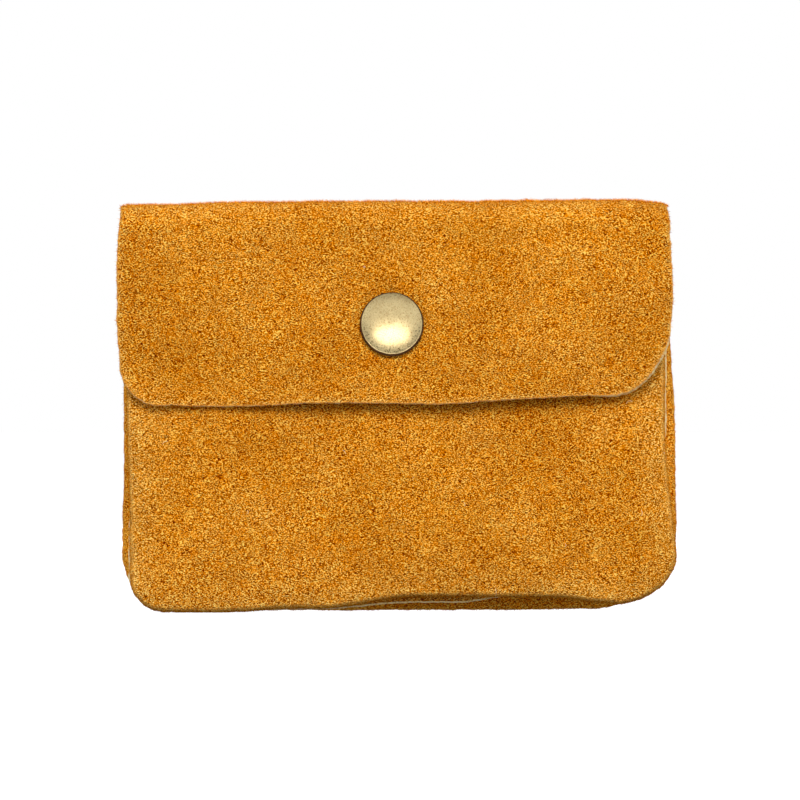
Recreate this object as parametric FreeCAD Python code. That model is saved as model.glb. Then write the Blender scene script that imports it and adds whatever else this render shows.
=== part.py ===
import FreeCAD, Part
import os
from math import ceil
from FreeCAD import Vector

# A suede snap purse: two flat turned bags, front and back, joined by a U-shaped gusset that makes a
# zipped coin pocket between them. The back leather runs up, folds forward over the top and hangs down
# the front as the flap, which a domed snap holds shut.
# Millimetres. +X is the wearer's right seen from the front, -Y is the front, +Z is up.
# The origin is at the middle of the bounding box's bottom.

# ---- driving dimensions ----
HEIGHT = 80.9
LEATHER = 1.1
POCKET_GAP = 5.0
COIN_GAP = 6.2
SNAP_GAP = 2.8
CAP_RISE = 1.9
CAP_RADIUS = 6.25

BACK_LEFT, BACK_RIGHT = -53.3, 54.7
FRONT_LEFT, FRONT_RIGHT = -52.0, 53.0
FLAP_LEFT, FLAP_RIGHT = -54.7, 54.1
BAG_CORNER = 11.0
BACK_MOUTH = 66.5
FRONT_MOUTH = 66.0

BAG_EDGE = 4.6
CROWN_RUN = 9.0
GUSSET_INSET = 5.0
FLANGE_LEATHER = 0.9
FLANGE_INSET = 0.3

FLAP_LOW_LEFT, FLAP_LOW_RIGHT = 40.5, 42.2
FLAP_CORNER_LEFT, FLAP_CORNER_RIGHT = 8.0, 11.0
SNAP_X, SNAP_Z = -0.8, 56.5

FOLD_CLEARANCE = 0.15
STITCH = 3.0
THREAD_RADIUS = 0.2

# ---- the layers, from the back face forward ----
BODY_DEPTH = 4 * LEATHER + 2 * POCKET_GAP + COIN_GAP
DEPTH = BODY_DEPTH + SNAP_GAP + LEATHER + CAP_RISE
BACK_FACE = DEPTH / 2
REAR_DIVIDER_BACK = BACK_FACE - LEATHER - POCKET_GAP
REAR_DIVIDER_FRONT = REAR_DIVIDER_BACK - LEATHER
FRONT_DIVIDER_BACK = REAR_DIVIDER_FRONT - COIN_GAP
FRONT_DIVIDER_FRONT = FRONT_DIVIDER_BACK - LEATHER
FRONT_INNER = FRONT_DIVIDER_FRONT - POCKET_GAP
FRONT_FACE = FRONT_INNER - LEATHER
FLAP_INNER = FRONT_FACE - SNAP_GAP
FLAP_FACE = FLAP_INNER - LEATHER

# ---- the two fold lines, in the middle of the leather's thickness ----
HALF = LEATHER / 2
FOLD_Z = HEIGHT - HALF
SPINE_Y = BACK_FACE - HALF
BROW_Y = FLAP_FACE + HALF

# ---- zip, a number 3 with metal teeth ----
TAPE = 0.4
TAPE_LEG = 7.5
TAPE_EDGE = 1.15
TAPE_LEFT, TAPE_RIGHT = -49.0, 50.0
ZIP_Y = (REAR_DIVIDER_FRONT + FRONT_DIVIDER_BACK) / 2
ZIP_Z = BACK_MOUTH + TAPE / 2
ZIP_STITCH_Z = BACK_MOUTH - 4.0
TEETH_LEFT, TEETH_RIGHT = -43.4, 40.9
TOOTH_PITCH = 2.2
TOOTH_WIDE = 0.95
TOOTH_HALF_HEIGHT = 0.75
TOOTH_REACH = 0.45
TOOTH_OUTER = 2.0
SLIDER_X = 40.6
SLIDER_LENGTH = 8.0
SLIDER_HALF_WIDTH = 2.9
SLIDER_PLATE = 0.7
SLIDER_BORE = 0.95
SLIDER_WALL = 0.55
SLIDER_SLOT = 0.35
PIVOT_Z = ZIP_Z + SLIDER_BORE + SLIDER_PLATE + 0.75
PIVOT_RADIUS = 0.38
PULL_LENGTH = 8.2
PULL_HALF_WIDTH = 2.0
PULL_WINDOW = 2.3
BRIDGE_HALF_WIDTH = 0.8

# ---- snap, a line 20 with a ring socket ----
POST_RADIUS = 1.5
POST_CLEARANCE = 0.05
SOCKET_RADIUS = 4.0
SOCKET_FLANGE = 5.0
SOCKET_FLOOR = 0.4
SOCKET_BORE = 2.75
SOCKET_DEPTH = SNAP_GAP - 0.7
STUD_FLANGE = 4.6
STUD_FLANGE_THICK = 0.5
STUD_NECK = 1.5
STUD_HEAD = 2.1
STUD_HEIGHT = 1.6
STUD_BORE = 0.95
TUBE_RADIUS = 0.9
SPRING_WIRE = 0.2
SPRING_OFFSET = STUD_NECK + SPRING_WIRE + 0.05
SPRING_HALF_LENGTH = 3.2
SPRING_Y = FRONT_FACE - STUD_FLANGE_THICK - 0.6


def block(x0, x1, y0, y1, z0, z1):
    """A box between two corners."""
    return Part.makeBox(x1 - x0, y1 - y0, z1 - z0, Vector(x0, y0, z0))


def rod_along_x(x0, x1, y, z, radius):
    return Part.makeCylinder(radius, x1 - x0, Vector(x0, y, z), Vector(1, 0, 0))


def rod_along_y(x, z, y0, y1, radius):
    return Part.makeCylinder(radius, y1 - y0, Vector(x, y0, z), Vector(0, 1, 0))


def bag_wire(left, right, top, inset, y, corner=BAG_CORNER):
    """A bag's outline at depth y: square at the top, round at the two bottom corners."""
    x0, x1, z0 = left + inset, right - inset, inset
    r = corner - inset
    k = r * (1 - 0.5 ** 0.5)
    low_left = Part.Arc(Vector(x0, y, z0 + r), Vector(x0 + k, y, z0 + k), Vector(x0 + r, y, z0))
    low_right = Part.Arc(Vector(x1 - r, y, z0), Vector(x1 - k, y, z0 + k), Vector(x1, y, z0 + r))
    edges = [
        Part.LineSegment(Vector(x0, y, top), Vector(x0, y, z0 + r)).toShape(),
        low_left.toShape(),
        Part.LineSegment(Vector(x0 + r, y, z0), Vector(x1 - r, y, z0)).toShape(),
        low_right.toShape(),
        Part.LineSegment(Vector(x1, y, z0 + r), Vector(x1, y, top)).toShape(),
        Part.LineSegment(Vector(x1, y, top), Vector(x0, y, top)).toShape(),
    ]
    return Part.Wire(edges)


def bag_slab(left, right, top, inset, y0, y1):
    """A flat sheet with a bag's outline, from y0 to y1."""
    face = Part.Face(bag_wire(left, right, top, inset, y0))
    return face.extrude(Vector(0, y1 - y0, 0))


def pillow(left, right, top, inset, foot_y, outward, wall, crest, run):
    """A solid bag shape: an upright wall from foot_y, then a slope over 'run' up to the flat crest."""
    wall_y = foot_y + outward * wall
    crest_y = foot_y + outward * crest
    base = bag_slab(left, right, top, inset, foot_y, wall_y)
    rim = bag_wire(left, right, top, inset, wall_y)
    brow = bag_wire(left, right, top, inset + run, crest_y)
    crown = Part.makeLoft([rim, brow], True, True)
    return base.fuse(crown).removeSplitter()


def tray(left, right, mouth, foot_y, outward):
    """A bag's outer leather: crowned, turned in at the sides and bottom, open at the mouth."""
    wall = BAG_EDGE - LEATHER
    crest = POCKET_GAP + LEATHER
    outside = pillow(left, right, mouth, 0, foot_y, outward, wall, crest, CROWN_RUN)
    inside = pillow(left, right, mouth + 1, LEATHER, foot_y, outward,
                    wall - 0.8 * LEATHER, POCKET_GAP, CROWN_RUN - 0.8 * LEATHER)
    return outside.cut(inside)


def along_bag_edge(left, right, mouth, inset):
    """Places one stitch apart down one side of a bag, along its bottom and up the other side."""
    wire = bag_wire(left, right, mouth, inset, 0)
    seam = Part.Wire(wire.Edges[:5])
    count = ceil(seam.Length / STITCH)
    return [(p.x, p.z) for p in seam.discretize(Number=count)][1:-1]


# ---- leather ----

def back_panel():
    """The back bag's outer leather, with the plain sheet above the pocket that runs up to the fold."""
    sheet_top = FOLD_Z - HALF - FOLD_CLEARANCE
    sheet = block(BACK_LEFT, BACK_RIGHT, BACK_FACE - LEATHER, BACK_FACE, BACK_MOUTH, sheet_top)
    bag = tray(BACK_LEFT, BACK_RIGHT, BACK_MOUTH, REAR_DIVIDER_BACK, 1)
    return bag.fuse(sheet).removeSplitter()


def front_panel():
    """The front bag's outer leather, with a hole for the snap's post."""
    bag = tray(FRONT_LEFT, FRONT_RIGHT, FRONT_MOUTH, FRONT_DIVIDER_FRONT, -1)
    hole = rod_along_y(SNAP_X, SNAP_Z, FRONT_FACE - 1, FRONT_INNER + 1, TUBE_RADIUS + POST_CLEARANCE)
    return bag.cut(hole)


def rear_divider():
    return bag_slab(BACK_LEFT, BACK_RIGHT, BACK_MOUTH, 0, REAR_DIVIDER_FRONT, REAR_DIVIDER_BACK)


def front_divider():
    return bag_slab(FRONT_LEFT, FRONT_RIGHT, BACK_MOUTH, 0, FRONT_DIVIDER_FRONT, FRONT_DIVIDER_BACK)


def u_band(outer_inset, inner_inset, y0, y1):
    """A U-shaped band between two insets of the front bag's outline."""
    outer = bag_slab(FRONT_LEFT, FRONT_RIGHT, BACK_MOUTH, outer_inset, y0, y1)
    inner = bag_slab(FRONT_LEFT, FRONT_RIGHT, BACK_MOUTH + 1, inner_inset, y0 - 1, y1 + 1)
    return outer.cut(inner)


def coin_gusset():
    """The U-shaped wall between the two bags, with an outward flange sewn flat to each divider."""
    inner = GUSSET_INSET + LEATHER
    wall = u_band(GUSSET_INSET, inner, FRONT_DIVIDER_BACK, REAR_DIVIDER_FRONT)
    front = u_band(FLANGE_INSET, inner, FRONT_DIVIDER_BACK, FRONT_DIVIDER_BACK + FLANGE_LEATHER)
    rear = u_band(FLANGE_INSET, inner, REAR_DIVIDER_FRONT - FLANGE_LEATHER, REAR_DIVIDER_FRONT)
    return wall.fuse([front, rear]).removeSplitter()


def top_fold():
    """The stretch of the same hide between the two fold lines, round at the back fold."""
    front = BROW_Y + HALF + FOLD_CLEARANCE
    plate = block(FLAP_LEFT + 0.5, FLAP_RIGHT, front, SPINE_Y, FOLD_Z - HALF, FOLD_Z + HALF)
    barrel = rod_along_x(FLAP_LEFT + 0.5, FLAP_RIGHT, SPINE_Y, FOLD_Z, HALF)
    return plate.fuse(barrel).removeSplitter()


def flap_face(y):
    """The flap's outline: a slightly slanting low edge and two round corners of unequal size."""
    low_left = Vector(FLAP_LEFT, y, FLAP_LOW_LEFT)
    low_right = Vector(FLAP_RIGHT, y, FLAP_LOW_RIGHT)
    along = (low_right - low_left).normalize()
    up = Vector(0, 0, 1)

    def corner(tip, one_way, other_way, size):
        start, end = tip + one_way * size, tip + other_way * size
        towards_tip = (tip - (start + end) / 2) * (2 ** 0.5 - 1)
        return start, Part.Arc(start, (start + end) / 2 + towards_tip, end).toShape(), end

    left_start, left_arc, left_end = corner(low_left, up, along, FLAP_CORNER_LEFT)
    right_start, right_arc, right_end = corner(low_right, along * -1, up, FLAP_CORNER_RIGHT)
    top_left = Vector(FLAP_LEFT, y, FOLD_Z)
    top_right = Vector(FLAP_RIGHT, y, FOLD_Z)
    edges = [
        Part.LineSegment(top_left, left_start).toShape(),
        left_arc,
        Part.LineSegment(left_end, right_start).toShape(),
        right_arc,
        Part.LineSegment(right_end, top_right).toShape(),
        Part.LineSegment(top_right, top_left).toShape(),
    ]
    return Part.Face(Part.Wire(edges))


def flap():
    """The hanging end of the hide, round at the front fold, with a hole for the cap's post."""
    plate = flap_face(FLAP_FACE).extrude(Vector(0, LEATHER, 0))
    barrel = rod_along_x(FLAP_LEFT, FLAP_RIGHT, BROW_Y, FOLD_Z, HALF)
    hole = rod_along_y(SNAP_X, SNAP_Z, FLAP_FACE - 1, FLAP_INNER + 1, POST_RADIUS + POST_CLEARANCE)
    return plate.fuse(barrel).removeSplitter().cut(hole)


# ---- thread ----

def front_seam_thread():
    """Stitches through the gusset's flange and the front divider into the front leather's turned edge."""
    y0 = FRONT_DIVIDER_FRONT - 2.0
    y1 = FRONT_DIVIDER_BACK + FLANGE_LEATHER
    places = along_bag_edge(FRONT_LEFT, FRONT_RIGHT, FRONT_MOUTH, HALF)
    return Part.makeCompound([rod_along_y(x, z, y0, y1, THREAD_RADIUS) for x, z in places])


def back_seam_thread():
    """Stitches through the rear divider into the back leather's turned edge."""
    y0 = REAR_DIVIDER_FRONT
    y1 = REAR_DIVIDER_BACK + 2.0
    places = along_bag_edge(BACK_LEFT, BACK_RIGHT, BACK_MOUTH, HALF)
    return Part.makeCompound([rod_along_y(x, z, y0, y1, THREAD_RADIUS) for x, z in places])


def zip_stitching():
    """One row through each zip tape and the divider that it is sewn to."""
    stitches = []
    count = int((TAPE_RIGHT - TAPE_LEFT) / STITCH)
    for i in range(count):
        x = TAPE_LEFT + STITCH * (i + 0.5)
        stitches.append(rod_along_y(x, ZIP_STITCH_Z, FRONT_DIVIDER_FRONT - TAPE, FRONT_DIVIDER_BACK,
                                    THREAD_RADIUS))
        stitches.append(rod_along_y(x, ZIP_STITCH_Z, REAR_DIVIDER_FRONT, REAR_DIVIDER_BACK + TAPE,
                                    THREAD_RADIUS))
    return Part.makeCompound(stitches)


# ---- zip ----

def zip_tape(divider_face, outward):
    """A tape that leaves the teeth, laps over a divider's top and turns down its pocket side."""
    leg_y = sorted((divider_face, divider_face + outward * TAPE))
    lap_y = sorted((ZIP_Y + outward * TAPE_EDGE, divider_face + outward * TAPE))
    lap = block(TAPE_LEFT, TAPE_RIGHT, *lap_y, BACK_MOUTH, BACK_MOUTH + TAPE)
    leg = block(TAPE_LEFT, TAPE_RIGHT, *leg_y, BACK_MOUTH - TAPE_LEG, BACK_MOUTH)
    return lap.fuse(leg).removeSplitter()


def zip_tooth(x, outward):
    """One tooth, with two jaws that grip the tape's edge and a head past the middle line."""
    y = sorted((ZIP_Y - outward * TOOTH_REACH, ZIP_Y + outward * TOOTH_OUTER))
    slot_y = sorted((ZIP_Y + outward * TAPE_EDGE, ZIP_Y + outward * (TOOTH_OUTER + 1)))
    half = TOOTH_WIDE / 2
    body = block(x - half, x + half, *y, ZIP_Z - TOOTH_HALF_HEIGHT, ZIP_Z + TOOTH_HALF_HEIGHT)
    slot = block(x - 1, x + 1, *slot_y, ZIP_Z - TAPE / 2, ZIP_Z + TAPE / 2)
    return body.cut(slot)


def zip_teeth(outward, offset):
    """A row of teeth; the two rows stand half a pitch apart, so that they mesh."""
    count = int((TEETH_RIGHT - TEETH_LEFT - TOOTH_PITCH / 2) / TOOTH_PITCH) + 1
    xs = [TEETH_LEFT + offset + TOOTH_PITCH * i for i in range(count)]
    return Part.makeCompound([zip_tooth(x, outward) for x in xs])


def slider_plate(z0, z1):
    """One of the slider's two plates, with round corners."""
    half = SLIDER_LENGTH / 2
    plate = block(SLIDER_X - half, SLIDER_X + half, ZIP_Y - SLIDER_HALF_WIDTH, ZIP_Y + SLIDER_HALF_WIDTH,
                  z0, z1)
    upright = [e for e in plate.Edges if abs(e.tangentAt(e.FirstParameter).z) > 0.9]
    return plate.makeFillet(1.2, upright)


def slider_lip(side, up):
    """A lip that turns from a plate's long edge towards the tape and leaves the tape's slot open."""
    y = sorted((ZIP_Y + side * (SLIDER_HALF_WIDTH - SLIDER_WALL), ZIP_Y + side * SLIDER_HALF_WIDTH))
    z = sorted((ZIP_Z + up * SLIDER_SLOT, ZIP_Z + up * (SLIDER_BORE + 0.1)))
    return block(SLIDER_X - 2.7, SLIDER_X + 1.6, *y, *z)


def slider_wedge():
    """The diamond that joins the plates at the nose and parts the teeth."""
    nose = SLIDER_X + SLIDER_LENGTH / 2
    tip, wide, end = nose - 2.9, nose - 1.2, nose - 0.3
    corners = [(tip, 0), (wide, -0.95), (end, -0.5), (end, 0.5), (wide, 0.95), (tip, 0)]
    low = ZIP_Z - SLIDER_BORE - 0.1
    wire = Part.makePolygon([Vector(x, ZIP_Y + y, low) for x, y in corners])
    return Part.Face(wire).extrude(Vector(0, 0, 2 * (SLIDER_BORE + 0.1)))


def slider_bridge():
    """The arch on the top plate that the pull's bar turns under."""
    foot = ZIP_Z + SLIDER_BORE + SLIDER_PLATE
    y0, y1 = ZIP_Y - BRIDGE_HALF_WIDTH, ZIP_Y + BRIDGE_HALF_WIDTH
    arch_top = PIVOT_Z + PIVOT_RADIUS + 0.62
    outer = block(SLIDER_X - 1.5, SLIDER_X + 1.5, y0, y1, foot - 0.1, arch_top)
    shoulders = [e for e in outer.Edges
                 if abs(e.tangentAt(e.FirstParameter).y) > 0.9 and e.CenterOfMass.z > arch_top - 0.01]
    outer = outer.makeFillet(0.5, shoulders)
    inner = block(SLIDER_X - 0.9, SLIDER_X + 0.9, y0 - 1, y1 + 1, foot, arch_top - 0.5)
    return outer.cut(inner)


def zip_slider():
    top = slider_plate(ZIP_Z + SLIDER_BORE, ZIP_Z + SLIDER_BORE + SLIDER_PLATE)
    low = slider_plate(ZIP_Z - SLIDER_BORE - SLIDER_PLATE, ZIP_Z - SLIDER_BORE)
    lips = [slider_lip(side, up) for side in (-1, 1) for up in (-1, 1)]
    return top.fuse([low, *lips, slider_wedge(), slider_bridge()]).removeSplitter()


def zip_pull():
    """A short tab with a window for the bridge, and a round bar at its end that turns under it."""
    end = SLIDER_X - PULL_LENGTH
    tab = block(end, SLIDER_X, ZIP_Y - PULL_HALF_WIDTH, ZIP_Y + PULL_HALF_WIDTH,
                PIVOT_Z - PIVOT_RADIUS, PIVOT_Z + PIVOT_RADIUS)
    tip = [e for e in tab.Edges
           if abs(e.tangentAt(e.FirstParameter).z) > 0.9 and e.CenterOfMass.x < end + 0.01]
    tab = tab.makeFillet(1.6, tip)
    window = block(SLIDER_X - PULL_WINDOW, SLIDER_X + 1, ZIP_Y - 1.0, ZIP_Y + 1.0,
                   PIVOT_Z - 1, PIVOT_Z + 1)
    bar = Part.makeCylinder(PIVOT_RADIUS, 2 * PULL_HALF_WIDTH,
                            Vector(SLIDER_X, ZIP_Y - PULL_HALF_WIDTH, PIVOT_Z), Vector(0, 1, 0))
    return tab.cut(window).fuse(bar).removeSplitter()


def stop_block(x0, x1, outward):
    """A stop clamped on one tape's edge, as high as a tooth."""
    y = sorted((ZIP_Y + outward * 0.35, ZIP_Y + outward * TOOTH_OUTER))
    slot_y = sorted((ZIP_Y + outward * TAPE_EDGE, ZIP_Y + outward * (TOOTH_OUTER + 1)))
    body = block(x0, x1, *y, ZIP_Z - TOOTH_HALF_HEIGHT, ZIP_Z + TOOTH_HALF_HEIGHT)
    return body.cut(block(x0 - 1, x1 + 1, *slot_y, ZIP_Z - TAPE / 2, ZIP_Z + TAPE / 2))


def zip_top_stops():
    x0 = SLIDER_X + SLIDER_LENGTH / 2 + 0.2
    return Part.makeCompound([stop_block(x0, x0 + 1.7, outward) for outward in (-1, 1)])


def zip_bottom_stop():
    """One clip across both tapes, just past the first tooth."""
    x1 = TEETH_LEFT - TOOTH_WIDE / 2 - 0.2
    x0 = x1 - 1.6
    body = block(x0, x1, ZIP_Y - TOOTH_OUTER, ZIP_Y + TOOTH_OUTER,
                 ZIP_Z - TOOTH_HALF_HEIGHT, ZIP_Z + TOOTH_HALF_HEIGHT)
    for outward in (-1, 1):
        slot_y = sorted((ZIP_Y + outward * TAPE_EDGE, ZIP_Y + outward * (TOOTH_OUTER + 1)))
        body = body.cut(block(x0 - 1, x1 + 1, *slot_y, ZIP_Z - TAPE / 2, ZIP_Z + TAPE / 2))
    return body


# ---- snap ----

def turned(edges):
    """A solid turned about the snap's axis from a closed profile drawn at radius x and depth y."""
    face = Part.Face(Part.Wire(edges))
    solid = face.revolve(Vector(0, 0, 0), Vector(0, 1, 0), 360)
    solid.translate(Vector(SNAP_X, 0, SNAP_Z))
    return solid


def run(points):
    """Straight profile edges through (radius, depth) points."""
    vectors = [Vector(r, y, 0) for r, y in points]
    return [Part.LineSegment(a, b).toShape() for a, b in zip(vectors, vectors[1:])]


def arc(start, middle, end):
    return Part.Arc(*(Vector(r, y, 0) for r, y in (start, middle, end))).toShape()


def snap_cap():
    """A domed cap with a rolled rim, hollow behind, and its post, which is rolled over in the socket."""
    shell = 0.4
    rim_y = FLAP_FACE
    rim_top = rim_y - 0.55
    apex = FLAP_FACE - CAP_RISE
    post_end = FLAP_INNER + SOCKET_FLOOR + 0.2
    roll = 1.95
    dome_mid = (CAP_RADIUS * 0.55, apex + (rim_top - apex) * 0.29)
    edges = [arc((0, apex), dome_mid, (CAP_RADIUS - 0.15, rim_top))]
    edges.append(arc((CAP_RADIUS - 0.15, rim_top), (CAP_RADIUS, rim_top + 0.3), (CAP_RADIUS - 0.2, rim_y)))
    edges += run([
        (CAP_RADIUS - 0.2, rim_y),
        (CAP_RADIUS - 0.9, rim_y),
        (CAP_RADIUS - 1.3, rim_top),
        (POST_RADIUS, apex + shell + 0.1),
        (POST_RADIUS, FLAP_INNER + SOCKET_FLOOR),
        (roll, FLAP_INNER + SOCKET_FLOOR),
        (roll, post_end),
        (0, post_end),
        (0, apex),
    ])
    return turned(edges)


def spring_wires(radius, half_length):
    """The two straight wires that grip the stud's neck from above and below."""
    return [rod_along_x(SNAP_X - half_length, SNAP_X + half_length, SPRING_Y, SNAP_Z + side * SPRING_OFFSET,
                        radius) for side in (-1, 1)]


def snap_socket():
    """The socket under the flap: a flange, a thick ring around the bore and channels for the spring."""
    lip_y = FLAP_INNER + SOCKET_DEPTH
    floor_y = FLAP_INNER + SOCKET_FLOOR
    hole = POST_RADIUS + POST_CLEARANCE
    edges = run([
        (hole, FLAP_INNER),
        (SOCKET_FLANGE, FLAP_INNER),
        (SOCKET_FLANGE, floor_y),
        (SOCKET_RADIUS, floor_y),
        (SOCKET_RADIUS, lip_y - 0.5),
    ])
    edges.append(arc((SOCKET_RADIUS, lip_y - 0.5), (SOCKET_RADIUS - 0.15, lip_y - 0.15),
                     (SOCKET_RADIUS - 0.5, lip_y)))
    edges += run([
        (SOCKET_RADIUS - 0.5, lip_y),
        (SOCKET_BORE, lip_y),
        (SOCKET_BORE, floor_y),
        (hole, floor_y),
        (hole, FLAP_INNER),
    ])
    return turned(edges).cut(spring_wires(SPRING_WIRE + 0.05, SPRING_HALF_LENGTH + 0.05))


def snap_spring():
    return Part.makeCompound(spring_wires(SPRING_WIRE, SPRING_HALF_LENGTH))


def snap_stud():
    """The stud on the front leather: a flange, a neck and a round head with a cupped tip."""
    flange_y = FRONT_FACE - STUD_FLANGE_THICK
    tip_y = flange_y - STUD_HEIGHT
    cup_y = tip_y + 0.3
    neck_y = flange_y - 0.85
    tip_radius = STUD_HEAD - 0.35
    edges = run([
        (STUD_BORE, FRONT_FACE),
        (STUD_FLANGE, FRONT_FACE),
        (STUD_FLANGE, flange_y),
        (STUD_NECK, flange_y),
        (STUD_NECK, neck_y),
    ])
    edges.append(arc((STUD_NECK, neck_y), (STUD_HEAD, neck_y - 0.4), (tip_radius, tip_y)))
    edges += run([
        (tip_radius, tip_y),
        (STUD_BORE + 0.45, tip_y),
        (STUD_BORE + 0.45, cup_y),
        (STUD_BORE, cup_y),
        (STUD_BORE, FRONT_FACE),
    ])
    return turned(edges)


def snap_post():
    """The tube that holds the stud: a flange inside the front pocket, rolled over in the stud's tip."""
    flange = 0.35
    cup_y = FRONT_FACE - STUD_FLANGE_THICK - STUD_HEIGHT + 0.3
    end_y = cup_y - 0.25
    edges = run([
        (0, FRONT_INNER + flange),
        (STUD_FLANGE - 0.1, FRONT_INNER + flange),
        (STUD_FLANGE - 0.1, FRONT_INNER),
        (TUBE_RADIUS, FRONT_INNER),
        (TUBE_RADIUS, cup_y),
        (TUBE_RADIUS + 0.4, cup_y),
        (TUBE_RADIUS + 0.4, end_y),
        (0, end_y),
        (0, FRONT_INNER + flange),
    ])
    return turned(edges)


PIECES = {
    "back_panel": back_panel,
    "top_fold": top_fold,
    "flap": flap,
    "front_panel": front_panel,
    "front_divider": front_divider,
    "rear_divider": rear_divider,
    "coin_gusset": coin_gusset,
    "front_seam_thread": front_seam_thread,
    "back_seam_thread": back_seam_thread,
    "zip_stitching": zip_stitching,
    "zip_tape_front": lambda: zip_tape(FRONT_DIVIDER_FRONT, -1),
    "zip_tape_rear": lambda: zip_tape(REAR_DIVIDER_BACK, 1),
    "zip_teeth_front": lambda: zip_teeth(-1, 0),
    "zip_teeth_rear": lambda: zip_teeth(1, TOOTH_PITCH / 2),
    "zip_slider": zip_slider,
    "zip_pull": zip_pull,
    "zip_top_stops": zip_top_stops,
    "zip_bottom_stop": zip_bottom_stop,
    "snap_cap": snap_cap,
    "snap_socket": snap_socket,
    "snap_spring": snap_spring,
    "snap_stud": snap_stud,
    "snap_post": snap_post,
}

os.makedirs("parts", exist_ok=True)
for node, make in PIECES.items():
    shape = make()
    shape.exportStep("parts/" + node + ".step")
    box = shape.BoundBox
    print(f"{node:18s} solids {len(shape.Solids):3d} valid {shape.isValid()} volume {shape.Volume:9.1f}",
          f"x {box.XMin:.2f} {box.XMax:.2f} y {box.YMin:.2f} {box.YMax:.2f} z {box.ZMin:.2f} {box.ZMax:.2f}")
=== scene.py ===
import math

import bpy
import numpy as np
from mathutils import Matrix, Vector
from mathutils.geometry import delaunay_2d_cdt

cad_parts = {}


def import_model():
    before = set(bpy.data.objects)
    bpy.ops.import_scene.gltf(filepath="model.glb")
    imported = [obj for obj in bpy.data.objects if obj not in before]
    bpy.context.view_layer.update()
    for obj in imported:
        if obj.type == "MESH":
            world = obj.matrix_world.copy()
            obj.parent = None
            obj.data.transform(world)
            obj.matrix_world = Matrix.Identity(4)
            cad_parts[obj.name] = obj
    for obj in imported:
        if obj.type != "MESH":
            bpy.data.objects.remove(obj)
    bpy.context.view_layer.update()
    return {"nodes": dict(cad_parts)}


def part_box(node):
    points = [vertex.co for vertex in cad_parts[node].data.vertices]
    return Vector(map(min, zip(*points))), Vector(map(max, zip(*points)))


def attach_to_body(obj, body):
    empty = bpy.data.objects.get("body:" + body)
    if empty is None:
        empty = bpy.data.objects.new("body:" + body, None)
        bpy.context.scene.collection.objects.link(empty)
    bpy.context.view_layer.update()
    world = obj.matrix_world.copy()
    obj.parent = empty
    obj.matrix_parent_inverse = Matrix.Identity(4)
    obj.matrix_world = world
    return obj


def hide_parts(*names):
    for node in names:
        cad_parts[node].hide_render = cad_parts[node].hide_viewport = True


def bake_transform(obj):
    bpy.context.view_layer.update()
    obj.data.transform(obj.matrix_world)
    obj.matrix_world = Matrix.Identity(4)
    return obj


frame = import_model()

# Looks of a small suede purse. All shapes are worked out in millimetres and put into the meshes in
# metres. The hide is drawn flat, as x across and s along it, and bent over the top by over_the_top().

MM = 0.001


def cad(node):
    """Lowest and highest corner of a CAD node, in millimetres."""
    low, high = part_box(node)
    return np.array(low) / MM, np.array(high) / MM


# ---- sizes taken from the frame ----
FLAP_LOW, FLAP_HIGH = cad("flap")
TOP_LOW, TOP_HIGH = cad("top_fold")
BACK_LOW, BACK_HIGH = cad("back_panel")
FRONT_LOW, FRONT_HIGH = cad("front_panel")
REAR_DIVIDER_LOW, REAR_DIVIDER_HIGH = cad("rear_divider")
CAP_LOW, CAP_HIGH = cad("snap_cap")

LEATHER = TOP_HIGH[2] - TOP_LOW[2]
TOP = TOP_HIGH[2]
FLAP_FACE = FLAP_LOW[1]
BACK_FACE = BACK_HIGH[1]
FRONT_FACE = FRONT_LOW[1]
SNAP_X = (CAP_LOW[0] + CAP_HIGH[0]) / 2
SNAP_Z = (CAP_LOW[2] + CAP_HIGH[2]) / 2
CAP_RADIUS = (CAP_HIGH[0] - CAP_LOW[0]) / 2
CAP_RISE = FLAP_FACE - CAP_LOW[1]
BAG_MOUTH = REAR_DIVIDER_HIGH[2]
FRONT_MOUTH = FRONT_HIGH[2]
FRONT_DIVIDER_FACE = cad("front_divider")[1][1]
REAR_DIVIDER_FACE = REAR_DIVIDER_LOW[1]

# ---- bags and flap: x of the left and right side, radius of the left and right corner ----
FRONT_SIDES = (FRONT_LOW[0] - 0.2, FRONT_HIGH[0])
FRONT_CORNERS = (7.2, 12.4)
BACK_SIDES = (BACK_LOW[0] - 0.3, BACK_HIGH[0] + 0.3)
BACK_CORNERS = (11.5, 17.0)
FLAP_CORNERS = (7.5, 13.0)
TURN_IN = 2.3  # from a divider's face to the seam where it meets the outer leather
FRONT_SEAM = FRONT_DIVIDER_FACE - TURN_IN
REAR_SEAM = REAR_DIVIDER_FACE + TURN_IN
ROLL = 3.5  # how far a turned edge stands over its seam
ROLL_IN = 1.0  # how far in from the edge it reaches that height
CROWN_RUN = 20.0  # how far in from the edge a bag's face is at its fullest
LOWEST = 0.05  # the least height of a leather edge over the ground

# ---- the hide's fold over the top ----
FOLD_RADIUS = 4.6
RIDGE = TOP - 0.8
TOP_LEFT, TOP_RIGHT = FLAP_LOW[0] + 0.85, FLAP_HIGH[0] - 0.8
MIDDLE = (FLAP_FACE + BACK_FACE) / 2
HALF_TOP = (BACK_FACE - FLAP_FACE) / 2 - FOLD_RADIUS
HANG_TOP = RIDGE - FOLD_RADIUS  # where the bend starts
BEND_LENGTH = math.pi / 2 * FOLD_RADIUS
HIDE_END = HANG_TOP + BEND_LENGTH + HALF_TOP  # where the hide's two halves meet

# ---- spacings in the meshes, and seeds that leathers share so that their edges run together ----
TURNED_INSETS = (0.025, 0.08, 0.20, 0.40, 0.68, 1.0, 1.4, 1.9)
RAW_INSETS = (0.12, 0.35)
RIM_STEP = 0.26
PATH_STEP = 0.5
FINE, MEDIUM, COARSE = 0.46, 0.56, 0.9
FRONT_SEED, BACK_SEED = 5, 17

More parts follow.
